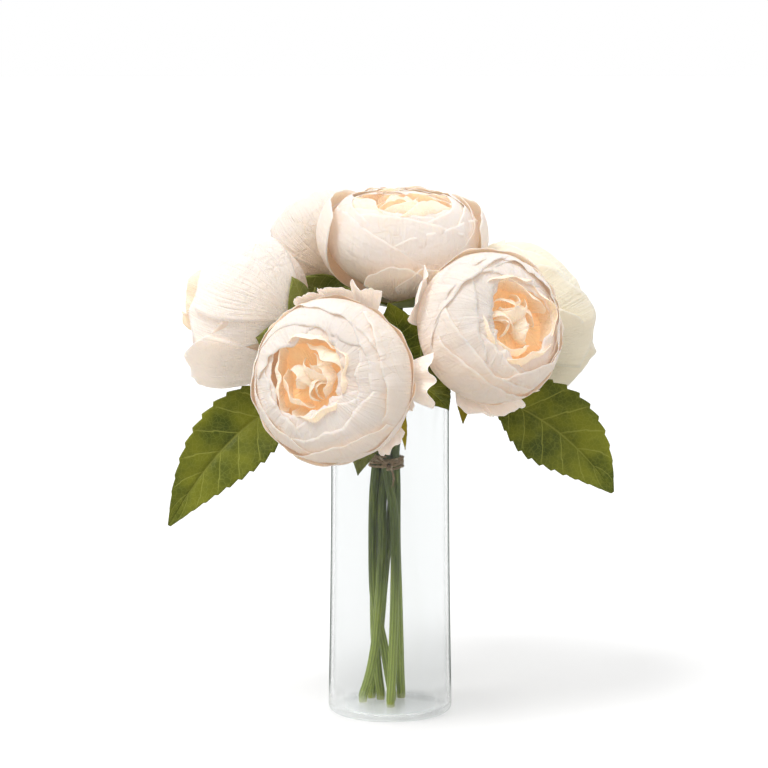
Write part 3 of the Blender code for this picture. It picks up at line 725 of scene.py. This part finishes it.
def cupPetal(bloom, rng, spec, level, middle, half, top, flare):
    # A petal on the bloom's shell, with a wavy free edge, folds along it and one side tucked under
    make = cupMake
    u, v = petalGrid(make)
    jag = make["jag"][0] + make["jag"][1] * level
    edge = top - make["rounding"] * np.abs(v) ** 2.1 + jag * waves(rng, v, 3, 4.0, 6.0)
    edge = edge + make["nicks"] * waves(rng, v, 3, 14.0, 22.0)
    slant = rng.choice([-1.0, 1.0, 1.0]) * rng.uniform(*make["slant"])
    shift = spec["shift"] * (0.4 + 0.15 * level)
    edge = edge + slant * v - shift * np.cos(middle + half * v - azimuthOf(bloom, spec["way"]))
    edge = np.minimum(edge, make["topmost"])
    polar = make["start"] + (edge - make["start"]) * u ** 0.9
    width = half * (0.50 + 0.50 * np.sin(np.clip(u * 1.25, 0, 1) * math.pi / 2))
    width = width * (1 + 0.02 * waves(rng, u, 3, 6, 9))
    azimuth = middle + width * v + 0.05 * rng.uniform(-1, 1) * u
    out = -(make["sink"][0] + make["sink"][1] * level + spec.get("slim", 0.0)) * mm
    out = out + make["tuck"] * mm * v * (0.35 + 0.65 * u)
    bulge = (1 - v**2) * np.sin(math.pi * np.clip(u, 0.02, 1)) ** 0.7 - make["bellyDown"]
    out = out + mm * rng.uniform(*make["belly"]) * bulge
    out = out + make["wave"] * mm * waves(rng, v + 0.25 * u, 4, 4.0, 7.0) * u ** 1.5
    out = out + make["ruffle"][level] * mm * waves(rng, v + 0.15 * u, 3, 8.0, 13.0) * u ** 7
    out = out + make["dimples"] * mm * waves(rng, v, 3, 7.0, 12.0) * waves(rng, u, 3, 7.0, 12.0)
    out = out + make["ribs"] * mm * waves(rng, v + 0.08 * u, 3, 20.0, 30.0) * (0.2 + 0.8 * u)
    out = out + make["folds"] * mm * waves(rng, u + 0.4 * v, 3, 9.0, 16.0) * (0.3 + 0.7 * np.abs(v))
    out = out + flare * u ** 7 - make["sideCurl"] * mm * np.abs(v) ** 8
    points = onShell(bloom, polar, azimuth, out)
    # rim marks the painted highlight along the free edge and sides; deep marks painted shade towards the base
    # and under the tucked sides
    rim = rimHighlight(u, v, (0.975, 0.02), (0.985, 0.015), 0.35)
    tucked = 0.34 * np.exp(-((1 - np.abs(v)) / 0.14) ** 2) * (u < 0.93)
    deep = np.clip(0.40 * (1 - u) ** 2 + tucked, 0, 1)
    return points, {"along": u, "across": v, "seed": rng.uniform(0, 1), "rim": rim, "deep": deep}


collarMake = {
    "start": 0.42, "rounding": 0.34,  # angles: where it starts, and how far its corners fall
    "clear": 1.3,                     # mm off the cups, where a bloom's own list doesn't say
    "crumple": 0.9,                   # mm
}


def collarPetal(bloom, rng, spec):
    # A loose outer petal that lies along the cup and then leans out, ruffled at its edge
    u, v = petalGrid(bloomMake)
    start = collarMake["start"]
    edge = spec["top"] - collarMake["rounding"] * np.abs(v) ** 2.2
    edge = edge + 0.05 * waves(rng, v, 3, 3.0, 5.0) + 0.022 * waves(rng, v, 2, 6.0, 9.0)
    polar = start + (edge - start) * u
    half = math.radians(spec["half"]) * (0.45 + 0.55 * np.sin(np.clip(u * 1.15, 0, 1) * math.pi / 2))
    azimuth = azimuthOf(bloom, spec["way"]) + half * v
    flare = np.clip((u - 0.45) / 0.55, 0, 1) ** 1.7
    ruffle = 1 + 0.28 * waves(rng, v, 2, 4.5, 7.0)
    out = spec.get("clear", collarMake["clear"]) * mm + spec["flare"] * mm * flare * ruffle
    out = out + collarMake["crumple"] * mm * waves(rng, v + 0.3 * u, 4, 7.0, 10.0) * u ** 2
    out = out + spec.get("lean", 0.0) * mm * v * np.clip(u * 1.6, 0, 1)
    # rim marks the painted highlight along the edges; deep marks painted shade towards the base
    rim = rimHighlight(u, v, (0.955, 0.045), (0.97, 0.03), 0.3)
    marks = {"along": u, "across": v, "seed": rng.uniform(0, 1), "rim": rim, "deep": 0.25 * (1 - u)}
    return onShell(bloom, polar, azimuth, out), marks


# The opening's folded petals, with sizes as shares of the opening, half angles in degrees and
# heights as shares of the bloom's half height
foldedMake = {
    "edgeRing": {"count": 4, "ring": 1.14, "half": (54, 66), "low": 0.05, "high": 0.75, "lean": (0.04, 0.12)},
    "nests": (((0.98, 66, 0.74), (0.72, 80, 0.69)), ((0.86, 68, 0.72),)),  # arcs: ring, half, high
    "nestLow": 0.08, "nestStep": 0.10, "nestLean": (0.06, 0.15),
    "budSizes": (1.0, 0.82, 0.72), "budAt": 0.40, "budLow": 0.12, "budCrumple": 0.4,
    "budPetals": ((0.56, 105, 0.72, 0.66), (0.36, 140, 0.69, 0.86)),  # ring, half, high, how far it closes
}


def foldedPetal(bloom, rng, ring, half, low, high, turn, lean, shift, crumple=1.0):
    # A small petal standing in the opening, crumpled and curling over at its edge
    u, v = petalGrid(bloomMake)
    edge = 1 - 0.40 * np.abs(v) ** 2.2 + 0.06 * waves(rng, v, 3, 3.0, 5.0)
    edge = edge + 0.010 * waves(rng, v, 3, 12.0, 20.0)
    reach = u * edge
    radius = bloom["radius"]
    belly = ring * (0.40 + 0.60 * np.sin(np.clip(reach * 1.3, 0, 1.25) * math.pi / 2)) - lean * reach ** 3
    folds = 0.085 * waves(rng, v + 0.4 * u, 2, 2.5, 5.5) + 0.014 * waves(rng, v, 3, 7.0, 11.0)
    belly = belly + crumple * folds * reach
    lift = low + (high - low) * reach ** 0.95 + 0.03 * waves(rng, v + u, 3, 4.0, 7.0) * reach
    azimuth = turn + math.radians(half) * v * (0.6 + 0.4 * reach) + 0.15 * rng.uniform(-1, 1) * u
    points = inBloom(bloom, radius * np.maximum(belly, 0.01), azimuth, bloom["half"] * lift)
    points = points + radius * (shift[0] * bloom["side"] + shift[1] * bloom["other"])
    # rim marks the painted highlight along the edges; deep marks painted shade towards the base
    rim = rimHighlight(u, v, (0.97, 0.03), (0.98, 0.02)) * 0.8
    deep = np.clip(1.0 - 1.5 * reach, 0, 1)
    return points, {"along": reach, "across": v, "seed": rng.uniform(0, 1), "rim": rim, "deep": deep}


def heartPetal(bloom, rng, opening):
    # The crumpled bed that closes the bottom of the opening
    u, v = petalGrid(bloomMake)
    turn = math.pi * v
    lift = 0.38 - 0.10 * u**2 + 0.07 * u * np.sin(5 * turn + rng.uniform(0, tau))
    lift = lift + 0.04 * u * np.sin(9 * turn)
    points = inBloom(bloom, bloom["radius"] * 1.30 * opening * (0.01 + u), turn, bloom["half"] * lift)
    # painted shade over the whole bed (deep)
    return points, {"along": 0.3 + 0.3 * u, "across": v, "seed": 0.5, "rim": 0.0, "deep": 0.6}


def foldedPetals(bloom, rng, spec):
    # Petals that fill the opening: a ring round its edge, two nests of arcs turned to each other, and
    # buds side by side, each of two petals closing over
    make, opening, fill = foldedMake, spec["open"], spec.get("fill", 1.0)
    way = azimuthOf(bloom, spec["way"])
    middle = 0.42 * spec["shift"] * np.array([math.cos(way), math.sin(way)])
    made = [heartPetal(bloom, rng, opening)]
    first = rng.uniform(0, tau)

    def toward(turn):
        return opening * np.array([math.cos(turn), math.sin(turn)])

    ring = make["edgeRing"]
    for n in range(ring["count"]):
        half = rng.uniform(*ring["half"])
        high = fill * (ring["high"] + rng.uniform(-0.05, 0.02))
        turn = first + tau * n / ring["count"] + rng.uniform(-0.2, 0.2)
        made.append(foldedPetal(bloom, rng, ring["ring"] * opening, half, ring["low"], high, turn,
                                rng.uniform(*ring["lean"]), middle))
    nest = math.radians(spec["nest"])
    for turn, arcs in zip((nest, nest + math.pi), make["nests"]):
        for n, (ring, half, high) in enumerate(arcs):
            high = fill * (high + rng.uniform(-0.06, 0.03))
            facing = turn + rng.uniform(-0.5, 0.5)
            at = middle - make["nestStep"] * n * toward(turn)
            made.append(foldedPetal(bloom, rng, ring * opening, half, make["nestLow"], high, facing,
                                    rng.uniform(*make["nestLean"]), at))
    for n, size in enumerate(make["budSizes"]):
        turn = nest + 0.6 + n * tau / 3 + rng.uniform(-0.3, 0.3)
        at = middle + make["budAt"] * toward(turn)
        for ring, half, high, close in make["budPetals"]:
            ring = ring * size * opening
            high = fill * (high + rng.uniform(-0.05, 0.03))
            facing = turn + math.pi + rng.uniform(-0.9, 0.9)
            made.append(foldedPetal(bloom, rng, ring, half, make["budLow"], high, facing, close * ring, at,
                                    make["budCrumple"]))
    return made


sepalMake = {"count": 5, "rows": 16, "columns": 15, "start": 0.02, "length": 0.84, "silk": 0.7 * mm}


def calyxSepals(bloom):
    # Pointed sepals that lie under the bloom, one side of each over the next
    u, v = petalGrid(sepalMake)
    made = []
    for n in range(sepalMake["count"]):
        rng = np.random.default_rng(900 + n)
        polar = sepalMake["start"] + sepalMake["length"] * u * (1 - 0.10 * v ** 2)
        half = 0.70 * np.sin(math.pi * np.clip(0.25 + 0.75 * u, 0, 1)) ** 0.7 + 0.02
        out = 4.8 * mm + 0.5 * mm * waves(rng, v + u, 3, 4, 7) * u + 0.25 * mm * (n % 2) - 0.3 * mm * v
        azimuth = tau * n / sepalMake["count"] + half * v
        made.append((onShell(bloom, polar, azimuth, out), {"along": u, "across": v}))
    return made


def nearestNode(bloom, name, numbers, azimuth):
    # The CAD petal whose middle lies nearest round the axis
    best = None
    for n in numbers:
        middle = weldedNode(f"petal_{name}_{n}")[0].mean(axis=0) - bloom["centre"]
        gap = abs((azimuthOf(bloom, middle) - azimuth + math.pi) % tau - math.pi)
        if best is None or gap < best[0]:
            best = (gap, n)
    return best[1]


def makeBloom(name, spec, number):
    # Every petal joins the piece of the CAD petal nearest to it: 1 to 3 are cups, 4 and 5 collars
    bloom = bloomFrame(name)
    rng = np.random.default_rng(spec["seed"])
    outer, inner = (looks[key] for key in spec["looks"])
    groups = {n: [] for n in range(1, 6)}
    last = len(spec["rings"]) - 1
    for level, (turn, count, top) in enumerate(spec["rings"]):
        for n in range(count):
            middle = math.radians(turn) + tau * n / count + rng.uniform(-0.12, 0.12)
            half = tau / count * cupMake["overlap"] * rng.uniform(0.86, 1.12)
            flare = cupMake["flare"][level] * mm * rng.uniform(0.2, 1.8) * spec.get("gape", 1.0)
            edge = top + rng.uniform(-cupMake["scatter"], cupMake["scatter"]) * (level < last)
            petal = cupPetal(bloom, rng, spec, level, middle, half, edge, flare)
            groups[nearestNode(bloom, name, (1, 2, 3), middle)].append(petal)
    for collar in spec["collars"]:
        middle = azimuthOf(bloom, collar["way"])
        groups[nearestNode(bloom, name, (4, 5), middle)].append(collarPetal(bloom, rng, collar))
    isIvory = spec["looks"][0] == "ivory"
    # Cream collars take the collar look, cream painted lighter; ivory collars, and those of blooms with
    # warmCollars, keep the cup looks
    collarLook = outer if isIvory else looks["collar"]
    for n, petals in groups.items():
        node = f"petal_{name}_{n}"
        if not petals:  # a small collar, so that no CAD petal is left without its own
            petals = [collarPetal(bloom, rng, {"way": bloom["side"], "half": 30, "top": 1.5, "flare": 4})]
        pair = [outer, inner] if n < 4 or spec.get("warmCollars") else [collarLook, collarLook]
        piece = place(node + "_silk", gridsToMesh(node, petals, pair),
                      "petal_ivory" if isIvory else "petal_cream", node)
        thicken(piece, bloomMake["silk"], 1)
    core = "inner_petals_" + name
    folded = gridsToMesh(core, foldedPetals(bloom, rng, spec), [looks["peach"]])
    thicken(place(core + "_silk", folded, "petal_peach", core), bloomMake["silk"])
    calyx = "calyx_" + name
    sepals = gridsToMesh(calyx, calyxSepals(bloom), [looks["calyx"]])
    thicken(place(calyx + "_sepals", sepals, "calyx", calyx), sepalMake["silk"])
    return makeStem(name, number)


stemPaths = {}
for number, (name, spec) in enumerate(blooms.items()):
    stemPaths[name] = makeBloom(name, spec, number)
    print("bloom made:", name)


leafMake = {
    "rows": 90, "columns": 33, "teeth": 15, "tooth": 0.10, "thickness": 0.45 * mm,
    "petiole": 0.12,  # share of the length before the blade starts
    # heights as shares of the leaf's width: between the veins, along the midrib, and at the edges
    "pillow": 0.016, "groove": 0.030, "curl": 0.03,
    # leaves opened out to fill the gaps between the blooms: growth and move along x, y and z
    "spread": {"leaf_gap_middle": ((2.0, 1.0, 1.45), (-3.5 * mm, 0.0, 4.0 * mm)),
               "leaf_mouth_right": ((1.25, 1.0, 1.2), (0.0, 0.0, 0.0))},
}


def leafRows(name):
    # The leaf's spine and its two edges, from petiole to tip
    points, near = weldedNode(name)
    spread = np.linalg.norm(points[:, None] - points[None], axis=2)
    a, b = np.unravel_index(spread.argmax(), spread.shape)
    axis = np.array([0.0, 0.0, points[:, 2].mean()])
    start = min((a, b), key=lambda n: np.linalg.norm(points[n] - axis))
    first = {n for n in range(len(points)) if spread[n, start] < 3.3 * mm}
    rows = rowsFrom(points, near, first)
    spine, left, right = [], [], []
    way = None
    for row in rows:
        if len(row) < 6:
            continue
        middle = row.mean(axis=0)
        side = unit(np.linalg.svd(row - middle)[2][0])
        if way is not None and side.dot(way) < 0:
            side = -side
        way = side
        order = row[np.argsort((row - middle) @ side)]
        left.append(order[:2].mean(axis=0))
        right.append(order[-2:].mean(axis=0))
        half = len(order) // 2
        spine.append(order[half - 1:half + 1].mean(axis=0))
    return spine, left, right


def makeLeaf(name, look, under, slot, teeth, number):
    # A toothed blade between the CAD leaf's edges, pillowed between its veins
    make = leafMake
    spine, left, right = (smoothPath(line, make["rows"]) for line in leafRows(name))
    rng = np.random.default_rng(300 + number)
    u, v = petalGrid(make)
    away = np.abs(v)
    saw = (u * make["teeth"] * teeth) % 1.0
    blade = np.clip((u - make["petiole"]) / (1 - make["petiole"]), 0, 1)
    edge = 1 + make["tooth"] * (saw - 0.55) * np.sin(math.pi * blade) ** 0.4 * (blade > 0)
    side = np.where(v[..., None] < 0, (left - spine)[:, None, :], (right - spine)[:, None, :])
    points = spine[:, None, :] + side * np.abs(v * edge)[..., None]
    normal = np.cross(np.gradient(spine, axis=0), right - left)
    normal /= np.maximum(np.linalg.norm(normal, axis=1), 1e-9)[:, None]
    facing = normal[:, 1].mean()
    if facing > 0.2 or (abs(facing) <= 0.2 and normal[:, 2].mean() < 0):
        normal = -normal
    width = np.linalg.norm(right - left, axis=1)[:, None]
    swept = (u - veinMake["sweep"] * away ** veinMake["bend"]) * veinMake["pairs"]
    rise = make["pillow"] * np.cos(tau * swept) * np.minimum(away * 4, 1) * (1 - 0.4 * away) * blade
    rise = rise - make["groove"] * np.exp(-(away / 0.06) ** 2)
    rise = rise + make["curl"] * waves(rng, 3.0 * u + v, 3, 2.0, 4.0) * away ** 2 * blade
    points = points + (rise * width)[..., None] * normal[:, None, :]
    if name in make["spread"]:
        growth, move = make["spread"][name]
        centre = points.mean(axis=(0, 1))
        points = centre + (points - centre) * growth + move
    mesh = gridsToMesh(name, [(points, {"along": u, "across": v})], [look, under])
    middle = mesh.polygons[len(mesh.polygons) // 2 + make["columns"] // 2].normal
    if middle.dot(Vector(normal[len(normal) // 2])) < 0:
        mesh.flip_normals()
    thicken(place(name + "_blade", mesh, slot, name), make["thickness"], 1)


for number, name in enumerate(n for n in sorted(cadNodes) if n.startswith("leaf_")):
    if name.startswith("leaf_under"):  # the golden bracts have half as many teeth
        makeLeaf(name, looks["gold"], looks["gold"], "leaf_gold", 0.5, number)
    else:
        makeLeaf(name, looks["leaf"], looks["leafBack"], "leaf", 1.0, number)
print("leaves made")


tieMake = {
    "turns": 4, "cord": 0.95 * mm, "strands": 3, "lay": 3.4 * mm,
    "height": 0.55,          # middle of the turns, as a share of the CAD tie's height
    "knot": (3.1, 0.9, 2.3),  # half its width, depth and height in mm
    # the three loose ends, as mm from the knot
    "ends": (((-1, -1.5, 1), (-5, -2.5, 4.5), (-9, -2.5, 6.5), (-12, -1.5, 6.0)),
             ((-1, -1.5, 0), (-4, -3.0, 2.0), (-7.5, -3.0, 4.0), (-9.5, -2.0, 4.2)),
             ((1, -1.5, -1), (3, -3.0, -4.0), (4.2, -3.0, -8.5), (4.0, -2.2, -11.5))),
    "wisps": 7, "wisp": 0.16 * mm,  # frayed fibres at each end, and their radius
}


def cordRings(path, radius, strands=tieMake["strands"], lay=tieMake["lay"], around=20):
    # A twisted cord: a lobed section that turns as it goes
    length = np.linalg.norm(np.diff(path, axis=0), axis=1).sum()
    turn = np.linspace(0, tau, around, endpoint=False)
    reach = radius * (0.78 + 0.22 * np.cos(strands * turn))
    section = np.stack([reach * np.cos(turn), reach * np.sin(turn)], axis=1)
    rings = sweep(path, [section] * len(path), twist=tau * length / (lay * strands))
    along = np.linspace(0, length / (20 * mm), len(path))[:, None]
    return rings, {"along": along, "across": np.cos(strands * turn)[None, :]}


def makeTie():
    # Cord wound round the bundle of stems, with a knot in front and three frayed ends. The first turn
    # starts in front, behind the knot
    make, cord = tieMake, tieMake["cord"]
    low, high = (np.array(c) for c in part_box("twine_tie"))
    height = low[2] + make["height"] * (high[2] - low[2])
    crossing = np.array([path[np.argsort(np.abs(path[:, 2] - height))[:2]].mean(axis=0)
                         for path in stemPaths.values()])
    centre = crossing.mean(axis=0)
    stemRadius = 3.0 * mm
    ring = np.linalg.norm(crossing[:, :2] - centre[:2], axis=1).max() + stemRadius + cord
    rng = np.random.default_rng(5)
    n = np.linspace(0, 1, 90 * make["turns"])
    turn = tau * make["turns"] * n - math.pi / 2
    squeeze = ring * (1 + 0.03 * np.cos(6 * turn + 0.4)) + 0.25 * mm * waves(rng, turn, 3, 0.6, 1.3)
    climb = 2.0 * cord * (n - 0.5) * make["turns"] + 0.5 * mm * waves(rng, turn, 3, 0.4, 1.1)
    winding = np.stack([centre[0] + squeeze * np.cos(turn), centre[1] + squeeze * np.sin(turn),
                        height + climb], axis=1)
    front = np.array([centre[0] + 0.5 * mm, centre[1] - ring - 1.1 * mm, height])
    wide, deep, tall = make["knot"]
    knot = [front + mm * np.array([wide * math.sin(a), -deep - deep * math.cos(1.5 * a),
                                   tall * math.sin(1.5 * a + 0.6)]) for a in np.linspace(0, 2 * tau, 110)]
    grids = [cordRings(winding, cord), cordRings(np.array(knot), cord * 0.95)]
    for ways in make["ends"]:
        path = smoothPath([front + mm * np.array(w, float) for w in ways], 44)
        grids.append(cordRings(path, cord * 0.8))
        ahead = unit(path[-1] - path[-4])
        for _ in range(make["wisps"]):
            fray = rng.normal(0, 1, 3) * 0.9
            out = mm * (1.5 * ahead + 0.3 * fray), mm * (3.2 * ahead + fray)
            wisp = smoothPath([path[-3], path[-1] + out[0], path[-1] + out[1]], 10)
            grids.append(cordRings(wisp, make["wisp"], 2, 2 * mm))
    mesh = gridsToMesh("twine_tie", grids, [looks["twine"]], closed=True, caps=True)
    place("twine_tie_cord", mesh, "twine", "twine_tie")


makeTie()
print("tie made")


studio = {
    "camera": (-4.0 * mm, -1857.0 * mm, 470.0 * mm), "tilt": 7.783, "lens": 135, "sensor": 36,
    "sun": {"at": (-1.0, -0.95, 2.3), "angle": 24, "power": 1.40},
    "world": 1.0, "sides": 0.7, "behind": 0.55,  # the soft room: all round, at the sides, near the camera
    "floor": {"pale": (0.78, 0.78, 0.78), "bounce": (0.50, 0.47, 0.43), "glow": 0.18, "radius": 14.0,
              "below": 0.2 * mm},
}


def makeCamera(scene):
    lens = bpy.data.cameras.new("camera")
    lens.lens, lens.sensor_width = studio["lens"], studio["sensor"]
    lens.clip_start, lens.clip_end = 0.05, 60
    view = bpy.data.objects.new("camera", lens)
    view.location = studio["camera"]
    view.rotation_euler = (math.radians(90 - studio["tilt"]), 0, 0)
    scene.collection.objects.link(view)
    scene.camera = view


def makeSun(scene):
    spec = studio["sun"]
    lamp = bpy.data.lights.new("sun", "SUN")
    lamp.angle, lamp.energy = math.radians(spec["angle"]), spec["power"]
    light = bpy.data.objects.new("sun", lamp)
    light.location = spec["at"]
    light.rotation_euler = (-Vector(spec["at"])).to_track_quat("-Z", "Y").to_euler()
    scene.collection.objects.link(light)


def makeRoom(scene):
    # White all round, greyer at both sides and behind the camera so that glass and petals keep an edge
    world = bpy.data.worlds.new("studio")
    scene.world = world
    world.use_nodes = True
    tree = world.node_tree
    split = shaderNode(tree, "SeparateXYZ", {0: shaderNode(tree, "TexCoord").outputs["Generated"]}).outputs
    upright = ramp(tree, maths(tree, "ABSOLUTE", split[2]), 0.35, 0.8, 1.0, 0.0)
    side = times(tree, ramp(tree, maths(tree, "ABSOLUTE", split[0]), 0.84, 0.96), upright)
    behind = times(tree, ramp(tree, split[1], -0.15, -0.75), upright)
    shade = blendColour(tree, behind, (1, 1, 1), (studio["behind"],) * 3)
    shade = blendColour(tree, side, shade, (studio["sides"],) * 3)
    background = tree.nodes["Background"].inputs
    tree.links.new(shade, background["Color"])
    background["Strength"].default_value = studio["world"]


def makeFloor(scene):
    # A pale floor that glows a little to the eye, and throws less light back on the flowers
    spec = studio["floor"]
    look, tree, shader = newLook("pale floor")
    grain = noise(tree, objectSpot(tree), 60.0, 2.0)
    bounced = shaderNode(tree, "LightPath").outputs["Is Diffuse Ray"]
    setShader(tree, shader, {"Base Color": blendColour(tree, bounced, spec["pale"], spec["bounce"]),
                             "Roughness": ramp(tree, grain, 0.2, 0.8, 0.55, 0.65),
                             "Emission Strength": ramp(tree, bounced, 0.0, 1.0, spec["glow"], 0.0)},
              Specular_IOR_Level=0.2, Emission_Color=(1.0, 1.0, 1.0, 1.0))
    turns = np.linspace(0, tau, 96, endpoint=False)
    disc = np.array([[(r * math.cos(t), r * math.sin(t), -spec["below"]) for t in turns]
                     for r in (0.001, 0.3, 1.0, spec["radius"])])
    floor = bpy.data.objects.new("floor", gridsToMesh("floor", [(disc, {})], [look], closed=True))
    scene.collection.objects.link(floor)


def makeStudio():
    scene = bpy.context.scene
    scene.view_settings.view_transform = "Standard"
    scene.view_settings.look = "None"
    makeCamera(scene)
    makeSun(scene)
    makeRoom(scene)
    makeFloor(scene)


makeStudio()
print("studio made")
